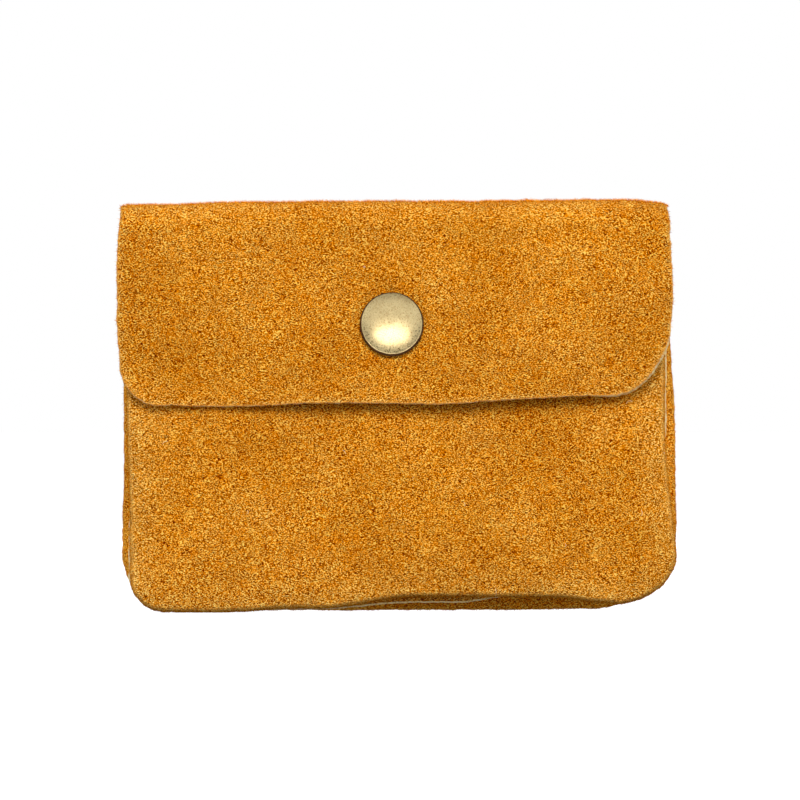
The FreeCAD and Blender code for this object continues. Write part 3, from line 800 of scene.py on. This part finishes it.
def back_shape(mouth):
    """Outline of the back bag's leathers, which narrows towards the width of the top."""
    shape = lifted(bag_outline(BACK_SIDES, BACK_CORNERS, mouth), back_arch)
    return drawn_to_top(bellied(shape, (0.25, 0.35)), 34, 70)


def gusset_shape(mouth):
    """The coin pocket's outline: it hangs lower than the front bag and shows a little beside it."""
    def hang(x):
        return front_arch(x) * (0.52 + 0.42 * ease((x - 12) / 10))

    shape = lifted(bag_outline(FRONT_SIDES, FRONT_CORNERS, mouth), hang)
    return bellied(shape, (0.5, 2.0), (0.1, 0.28))


def roll_height(d, crest):
    """Height of a turned bag's face over its seam plane at distance d from the edge."""
    short = 1 - np.minimum(d / ROLL_IN, 1)
    quarter = ROLL * (1 - short ** 2.3) ** (1 / 2.3)
    t = np.clip((d - 0.5) / CROWN_RUN, 0, 1)
    return quarter + (crest - ROLL) * (1 - (1 - t) ** 2)


def skived(d):
    """Leather thickness, pared down towards a turned edge."""
    return LEATHER * (0.42 + 0.58 * ease((d - 0.6) / 3.0))


def pucker(flat, d, mouth, seed):
    """Small gathers along a sewn edge that die out inwards and towards the mouth."""
    x, z = flat.T
    gathers = soft_noise(x, z, 3.2, seed) + 0.6 * soft_noise(x, z, 1.5, seed + 1)
    return 0.20 * gathers * np.exp(-d / 2.6) * ease(d / 0.8) * ease((mouth - 1.5 - z) / 6)


# ---- leather pieces ----

def spread_nap(name, seed, made, count, edge_count, bodies, hidden=None):
    """Fibres over a leather piece's outer face and its edge, riding as the piece does.

    made comes from sheet_solid: flat, triangles, points in the rim, outer, directions out of it.
    The fibres are sparse where the face is hidden, and stand up over the fold.
    """
    flat, triangles, rim, outer, outward = made
    keep = np.ones(len(flat)) if hidden is None else np.where(hidden, 0.15, 1.0)
    stand = ease((flat[:, 1] - HANG_TOP - BEND_LENGTH / 2) / 4)
    free = flat[:rim, 1] < min(flat[:, 1].max() - 0.5, HIDE_END - 2)
    edge = (outer[:rim][free], outward[free], edge_count)
    attach(nap(name, seed, outer, triangles, flat, count, keep, stand, edge), bodies)


def attach(obj, bodies):
    """Rides on one body. Given two bodies and a stretch, it is only fixed in place where it is."""
    if len(bodies) == 1:
        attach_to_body(obj, bodies[0])
    else:
        a, b, start, end = bodies
        tuple(v * MM for v in start)
        tuple(v * MM for v in end)
        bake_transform(obj)


# Where the hide bends: two bodies, and the points between which it turns from one to the other.
FLAP_BEND = ("top_fold", "flap", (0, FLAP_FACE + 8.5, TOP - 0.5), (0, FLAP_FACE + 0.5, TOP - 8.5))
BACK_BEND = ("root", "top_fold", (0, BACK_FACE - 0.5, TOP - 8.5), (0, BACK_FACE - 8.5, TOP - 0.5))


def flap_leather():
    """The flap with the front half of the top."""
    outline = hand_cut(flap_outline(), RIM_STEP, 0.10, 3)
    flat, triangles = fill(outline, FINE, RAW_INSETS)
    x, s = flat.T
    y, z, ny, nz = over_the_top(s, FLAP_FACE, 1)
    # The hide is pressed flat round the cap, with a dent along its rim.
    from_snap = np.hypot(x - SNAP_X, s - SNAP_Z)
    settled = ease((from_snap - CAP_RADIUS + 1.0) / 9)
    relief = ridge_relief(x, s, hide_relief(x, s, 11)) * (0.15 + 0.85 * settled)
    relief += 0.30 * ease((from_snap - 5) / 16) * (s < HANG_TOP) * ease((HANG_TOP - s) / 12)
    relief -= 0.32 * np.exp(-((from_snap - CAP_RADIUS) / 1.0) ** 2)
    # The low edge and both sides lie closer to the bag.
    closing = 0.8 * ease((56 - s) / 14)
    closing += ease((74 - s) / 32) * (2.0 * ease((-x - 12) / 26) + 1.5 * ease((x - 34) / 18))
    y = y + closing
    outer = np.column_stack([x, y + ny * relief, z + nz * relief + top_slant(x, s)])
    edge_line = np.vstack([outline, outline[:1]])
    edge_line = edge_line[edge_line[:, 1] < HIDE_END - 0.6]
    wear = np.minimum(4 * distance_to(flat, edge_line), fold_wear(s))
    bevel = 0.40 * ease((outline[:, 0] - 36) / 8) * ease((56 - outline[:, 1]) / 6)
    normals = np.column_stack([0 * x, ny, nz])
    obj, made = sheet_solid("flap_leather", flat, triangles, len(outline), outer, LEATHER, wear,
                            bevel=bevel, normals=normals)
    attach(obj, FLAP_BEND)
    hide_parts("flap")
    spread_nap("flap_nap", 101, made, count=34000, edge_count=6500, bodies=FLAP_BEND)


def back_leather():
    """The back bag's outer leather with the back half of the top."""
    outline = hand_cut(back_shape(HIDE_END), RIM_STEP, 0.09, BACK_SEED)
    flat, triangles = fill(outline, MEDIUM, TURNED_INSETS)
    x, s = flat.T
    # Turned in along its seam up to the bag's mouth, and a raw edge above it.
    d = distance_to(flat, below(outline, BAG_MOUTH + 4))
    crest = BACK_FACE - REAR_SEAM
    turned = 1 - ease((s - BAG_MOUTH + 4) / 7)
    drop = (crest - roll_height(d, crest)) * turned
    y, z, ny, nz = over_the_top(s, BACK_FACE, -1)
    relief = ridge_relief(x, s, hide_relief(x, s, 23)) * ease(d / 3 + (1 - turned))
    relief += pucker(flat, d, BAG_MOUTH - 2, 29) * turned - drop
    outer = np.column_stack([x, y + ny * relief, z + nz * relief + top_slant(x, s)])
    wear = np.minimum(d + 2.0, fold_wear(s))
    # Over the top its thickness is measured as the flap's is, so that the two halves meet.
    over = ease((s - HANG_TOP + 4) / 6)[:, None]
    normals = (vertex_normals(outer, triangles[:, ::-1]) * (1 - over)
               + np.column_stack([0 * x, ny, nz]) * over)
    obj, made = sheet_solid("back_leather", flat, triangles, len(outline), outer, skived(d), wear,
                            depth=drop, away=True, normals=normals)
    attach(obj, BACK_BEND)
    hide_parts("back_panel", "top_fold")
    spread_nap("back_nap", 102, made, count=36000, edge_count=6000, bodies=BACK_BEND)


# Stray hairs on the front: x, z, length, and heading and curl in degrees.
HAIRS = [
    (19.4, 2.9, 2.0, 68, 40), (46.4, 41.2, 1.7, 130, 120), (13.4, 20.8, 1.0, 60, 80),
    (47.9, 19.0, 1.3, 40, 90), (-29.2, 19.4, 0.9, 20, 120), (-9.8, 31.0, 1.1, 95, 60),
    (33.0, 13.0, 0.9, 10, 150), (-44.5, 33.5, 1.4, 155, 90),
]


def front_leather():
    """The front bag's outer leather, turned in at its sides and bottom."""
    outline = hand_cut(front_shape(FRONT_MOUTH), RIM_STEP, 0.09, FRONT_SEED)
    flat, triangles = fill(outline, FINE, TURNED_INSETS)
    x, z = flat.T
    d = distance_to(flat, below(outline, FRONT_MOUTH - 0.3))
    crest = FRONT_SEAM - FRONT_FACE
    relief = hide_relief(x, z, 41) * ease(d / 3) + pucker(flat, d, FRONT_MOUTH, 47)
    calm = ease((np.hypot(x - SNAP_X, z - SNAP_Z) - 4.5) / 5)
    height = roll_height(d, crest) + relief * (0.1 + 0.9 * calm)
    outer = np.column_stack([x, FRONT_SEAM - height, z])
    depth = crest - height
    # Paler towards the bottom through 3.8 + z / 5: painted light that makes up for the shade on the
    # bag's lower face. Deep in the seam it keeps its own tones.
    wear = np.minimum(d, 3.8 + z / 5) + 5 * ease((depth - 1.8) / 1.5)
    obj, made = sheet_solid("front_leather", flat, triangles, len(outline), outer, skived(d), wear,
                            depth=depth)
    attach(obj, ("root",))
    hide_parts("front_panel")
    under_flap = z > 46
    spread_nap("front_nap", 103, made, count=36000, edge_count=6000, bodies=("root",),
               hidden=under_flap)
    for k, hair in enumerate(HAIRS):
        loose_hair("hair_%d" % k, flat, outer, *hair)


def loose_hair(name, flat, outer, x, z, length, heading, curl):
    """A stray pale fibre that lies on the nap, starting at (x, z) and curling by some degrees."""
    turn = np.radians(heading + np.linspace(0, curl, 9))
    steps = np.column_stack([np.cos(turn), np.sin(turn)]) * length / 9
    line = np.array([x, z]) + np.cumsum(steps, axis=0)
    near = ((flat[None] - line[:, None]) ** 2).sum(2).argmin(1)
    lying = np.column_stack([line[:, 0], outer[near, 1] - 0.22, line[:, 1]])
    obj = tube(name, lying, 0.045, LINT, sides=6)
    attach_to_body(obj, "root")


def divider_leather(name, node, shape, seed, seam, face, away):
    """A bag's inner leather: flat, and turned at its sides and bottom to meet the outer one."""
    outline = hand_cut(shape(BAG_MOUTH), MEDIUM, 0.09, seed)
    flat, triangles = fill(outline, COARSE, TURNED_INSETS)
    x, z = flat.T
    d = distance_to(flat, below(outline, BAG_MOUTH - 0.3))
    crest = abs(face - seam)
    quarter = np.sqrt(np.maximum(crest ** 2 - (crest - np.minimum(d, crest)) ** 2, 0))
    relief = 0.06 * soft_noise(x, z, 6, 63) * ease(d / 3)
    height = quarter + relief - 0.03
    direction = 1 if away else -1
    outer = np.column_stack([x, seam + direction * height, z])
    # The divider's finish is painted brighter than the outer suede: painted light for the shade
    # behind the front bag.
    obj = sheet_solid(name, flat, triangles, len(outline), outer, skived(d) - 0.08, d + 2.0,
                      depth=crest - height, away=away, materials=LINING_PAINTED_LIGHT_SET)[0]
    attach(obj, ("root",))
    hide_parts(node)


def gusset_leather():
    """The coin pocket's U-shaped wall with two flanges, whose raw edges show between the bags."""
    front, rear = FRONT_DIVIDER_FACE - 0.03, REAR_DIVIDER_FACE + 0.03
    thick = 0.85
    path = below(closed_even(gusset_shape(BAG_MOUTH), PATH_STEP), BAG_MOUTH - 0.3)
    inward = left_of(np.gradient(path, axis=0))
    uneven = 0.12 * soft_noise(*path.T, 2.2, 71) + 0.08 * soft_noise(*path.T, 0.9, 72)
    path = path + inward * uneven[:, None]
    edge, wall, bend = 0.35, 5.2, 1.3  # flange's edge, wall, and bend between them, from the path
    centre, near, far = wall - bend, front + thick + bend, rear - thick - bend
    outer_low = arc_points(centre, near, bend, -90, 0, 8)
    outer_high = arc_points(centre, far, bend, 0, 90, 8)
    inner_low = arc_points(centre, near, bend + thick, 0, -90, 8)
    inner_high = arc_points(centre, far, bend + thick, 90, 0, 8)
    pared, round_edge = edge + 0.2, edge - 0.12
    section = np.vstack([[[edge, front + thick]], outer_low, outer_high, [[edge, rear - thick]],
                         [[round_edge, rear - thick / 2]], [[edge, rear]], inner_high, inner_low,
                         [[pared, front]], [[edge, front]], [[round_edge, front + thick / 2]]])
    sides = len(section)
    rear_edge = 1 + len(outer_low) + len(outer_high)
    slots = [0] * sides
    for k in (rear_edge, rear_edge + 1, sides - 3, sides - 2, sides - 1):
        slots[k] = 1
    obj = swept("gusset_leather", path, inward, section, LEATHER_SET, slots)
    attach(obj, ("root",))
    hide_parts("coin_gusset")


def seam_thread(name, node, shape, seam):
    """A lockstitched thread that runs inside a turned edge, weaving through both leathers."""
    from_edge, stitch = 2.0, 3.0
    path = below(closed_even(shape(FRONT_MOUTH), PATH_STEP), FRONT_MOUTH - 2)
    inward = left_of(np.gradient(path, axis=0))
    weave = 0.7 * np.sin(lengthwise(path) * 2 * math.pi / stitch)
    centre = path + inward * from_edge
    line = np.column_stack([centre[:, 0], seam + weave, centre[:, 1]])
    obj = tube(name, line, 0.2, THREAD)
    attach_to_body(obj, "root")
    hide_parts(node)


# ---- the snap's cap ----

def cap_shell():
    """The domed cap, set a little high on a lip that curls under, and its post behind it."""
    rim, chord = 0.55, CAP_RADIUS - 0.33  # thickness at the rim, half width of the dome
    curl, high = 0.30, 0.14  # radius of the lip, how far up the dome sits on it
    rise = CAP_RISE - rim
    radius = (chord ** 2 + rise ** 2) / (2 * rise)
    steps = np.linspace(0, math.asin(chord / radius), 40)[1:]
    dome = [(radius * math.sin(a), -CAP_RISE + radius * (1 - math.cos(a))) for a in steps]
    lip = [(CAP_RADIUS - curl + curl * math.cos(a), curl * (0.9 + math.sin(a)) - rim)
           for a in np.radians(np.linspace(-54, 88, 10))]
    hollow = [(CAP_RADIUS - 0.9, 0.02), (CAP_RADIUS - 1.25, -0.45), (1.5, -CAP_RISE + 0.6)]
    post = [(1.5, 1.45), (1.95, 1.5), (1.9, 1.68)]
    profile = dome + lip + hollow + post
    sides = 128
    turn = np.linspace(0, 2 * math.pi, sides, endpoint=False)
    rings = []
    for k, (r, y) in enumerate(profile):
        x, z = r * np.cos(turn), r * np.sin(turn) + (high if k < len(dome) else 0)
        dent = 0.012 * soft_noise(x, z, 1.8, 83)
        rings.append(np.column_stack([SNAP_X + x, FLAP_FACE + y + dent, SNAP_Z + z]))
    apex = [SNAP_X, FLAP_FACE - CAP_RISE, SNAP_Z]
    bottom = [SNAP_X, FLAP_FACE + profile[-1][1], SNAP_Z]
    points = np.vstack([apex] + rings + [bottom])
    index = 1 + np.arange(len(profile) * sides).reshape(-1, sides)
    faces, slots = [], []
    # The lip's dark finish is partly patina and partly painted shade of the gap under the rim.
    lip_from, lip_to = len(dome) - 1, len(dome) + len(lip)
    dark = [int(lip_from <= k < lip_to) for k in range(len(profile) - 1)]
    for k in range(sides):
        j = (k + 1) % sides
        faces.append([0, index[0, k], index[0, j]])
        faces += np.column_stack([index[:-1, k], index[1:, k], index[1:, j], index[:-1, j]]).tolist()
        faces.append([len(points) - 1, index[-1, j], index[-1, k]])
        slots += [0] + dark + [0]
    obj = build("cap_shell", points, faces, slots, [CAP_BRASS, PATINA_AND_PAINTED_SHADE])
    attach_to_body(obj, "flap")
    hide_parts("snap_cap")


def finish_cad_nodes():
    """The hardware and the zip keep their CAD shapes and get their finishes."""
    finishes = {"zip_tape": TAPE, "zip_stitching": THREAD, "zip_": BRASS, "snap_": CAP_BRASS}
    for node, part in frame["nodes"].items():
        kind = next((start for start in finishes if node.startswith(start)), None)
        if kind and node != "snap_cap":
            for slot in part.material_slots:
                slot.material = finishes[kind]


# ---- floor, light and camera ----

def soft_box(name, place, width, height, power, **sees):
    """An oval soft light aimed at the purse."""
    data = bpy.data.lights.new(name, "AREA")
    data.shape = "ELLIPSE"
    data.size = width
    data.size_y = height
    data.energy = power
    obj = bpy.data.objects.new(name, data)
    obj.location = place
    aim = Vector((0, 0, 0.04)) - Vector(place)
    obj.rotation_euler = aim.to_track_quat("-Z", "Y").to_euler()
    obj.visible_camera = False
    for kind, seen in sees.items():
        setattr(obj, "visible_" + kind, seen)
    bpy.context.scene.collection.objects.link(obj)


def floor():
    """A wide, over-exposed white floor that throws no light on the purse."""
    n = Nodes("pale_floor", Base_Color=(0.2, 0.2, 0.2), Roughness=0.9, Specular_IOR_Level=0.1,
              Emission_Color=(1, 1, 1), Emission_Strength=0.98)
    n.material.cycles.emission_sampling = "NONE"
    half = 12000.0  # millimetres
    points = [(-half, -half, 0), (half, -half, 0), (half, half, 0), (-half, half, 0)]
    obj = build("floor", points, [[0, 1, 2, 3]], [0], [n.material])
    obj.visible_diffuse = False
    obj.visible_glossy = False
    obj.visible_shadow = False


def world():
    """White to the eye, softer as a light."""
    made = bpy.data.worlds.new("studio")
    bpy.context.scene.world = made
    made.use_nodes = True
    tree = made.node_tree
    lit, seen = tree.nodes["Background"], tree.nodes.new("ShaderNodeBackground")
    for node, strength in ((lit, 0.24), (seen, 1.0)):
        node.inputs["Color"].default_value = (1, 1, 1, 1)
        node.inputs["Strength"].default_value = strength
    ray = tree.nodes.new("ShaderNodeLightPath")
    mixer = tree.nodes.new("ShaderNodeMixShader")
    tree.links.new(ray.outputs["Is Camera Ray"], mixer.inputs[0])
    tree.links.new(lit.outputs[0], mixer.inputs[1])
    tree.links.new(seen.outputs[0], mixer.inputs[2])
    tree.links.new(mixer.outputs[0], tree.nodes["World Output"].inputs["Surface"])


def camera():
    """Straight on from the front and far off, with a frame a little wider than the purse."""
    data = bpy.data.cameras.new("front_camera")
    distance, field = 2.2, 0.15625  # field is the frame's width at the flap, in metres
    aim_x, aim_z = 0.0008, 0.0417
    data.sensor_width = 36.0
    data.lens = data.sensor_width * (distance + FLAP_FACE * MM) / field
    data.clip_end = 100.0
    obj = bpy.data.objects.new("front_camera", data)
    obj.location = (aim_x, -distance, aim_z)
    obj.rotation_euler = (math.radians(90), 0, 0)
    bpy.context.scene.collection.objects.link(obj)
    bpy.context.scene.camera = obj


def studio():
    """Soft light from above and both sides, and two lights that only the metal mirrors."""
    world()
    floor()
    soft_box("key", (0.0, -1.3, 0.93), 0.8, 0.8, 18.6, glossy=False)
    soft_box("key_left", (-1.1, -1.1, 0.5), 0.8, 0.8, 4.8, glossy=False)
    soft_box("key_right", (1.1, -1.1, 0.5), 0.8, 0.8, 5.0, glossy=False)
    soft_box("low_front", (0.35, -1.0, 0.05), 0.5, 0.5, 1.0, glossy=False)
    soft_box("sky_in_metal", (0.0, -1.4, 0.45), 4.4, 1.7, 12.5, diffuse=False)
    soft_box("glow_in_metal", (0.0, -0.19, -0.010), 0.22, 0.105, 0.20, diffuse=False)
    soft_box("right", (1.4, 0.2, 0.7), 0.8, 0.8, 8)
    soft_box("left", (-1.4, 0.2, 0.7), 0.8, 0.8, 7)
    soft_box("behind", (0.0, 1.35, 0.75), 0.9, 0.9, 12)
    bpy.context.scene.view_settings.view_transform = "Standard"


camera()
studio()
flap_leather()
back_leather()
front_leather()
divider_leather("front_divider_leather", "front_divider", front_shape, FRONT_SEED, FRONT_SEAM,
                FRONT_DIVIDER_FACE, True)
divider_leather("rear_divider_leather", "rear_divider", back_shape, BACK_SEED, REAR_SEAM,
                REAR_DIVIDER_FACE, False)
gusset_leather()
seam_thread("front_seam", "front_seam_thread", front_shape, FRONT_SEAM)
seam_thread("back_seam", "back_seam_thread", back_shape, REAR_SEAM)
cap_shell()
finish_cad_nodes()
